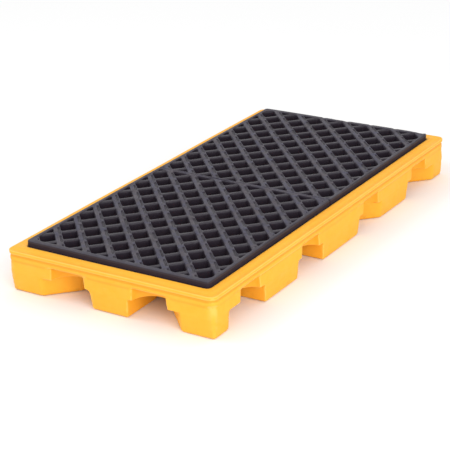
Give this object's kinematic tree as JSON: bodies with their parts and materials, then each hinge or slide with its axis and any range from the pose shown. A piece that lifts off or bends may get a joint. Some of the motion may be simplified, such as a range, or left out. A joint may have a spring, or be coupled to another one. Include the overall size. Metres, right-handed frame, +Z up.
{
  "type": "spill containment pallet",
  "caption": "Low spill containment pallet: a moulded tray on hollow feet with fork pockets, lift-out lattice gratings on loose posts, and a drain plug.",
  "frame": {"origin": "on the ground under the middle of the pallet", "axes": "+X along the long side towards the drain, +Y across, +Z up"},
  "size_m": [1.3, 0.66, 0.137],
  "materials": {
    "tray": "moulded, slightly waxy",
    "grating": "moulded, satin",
    "post": "moulded, slightly waxy",
    "plug": "satin",
    "gasket": "matt"
  },
  "bodies": {
    "tray": {"sump_base": "tray", "grate_post_left": "post", "grate_post_right": "post", "grate_post_centre_front": "post", "grate_post_centre": "post", "grate_post_centre_back": "post"},
    "left_grating": {"grate_left": "grating"},
    "right_grating": {"grate_right": "grating"},
    "plug": {"drain_plug": "plug", "drain_gasket": "gasket"}
  },
  "joints": [
    {"name": "grate_left_lift", "type": "slide", "parent": "tray", "child": "left_grating", "axis": [0, 0, 1], "range_m": [0, 0.25]},
    {"name": "grate_right_lift", "type": "slide", "parent": "tray", "child": "right_grating", "axis": [0, 0, 1], "range_m": [0, 0.25]},
    {"name": "drain_plug_out", "type": "slide", "parent": "tray", "child": "plug", "axis": [1, 0, 0], "range_m": [0, 0.06]}
  ]
}
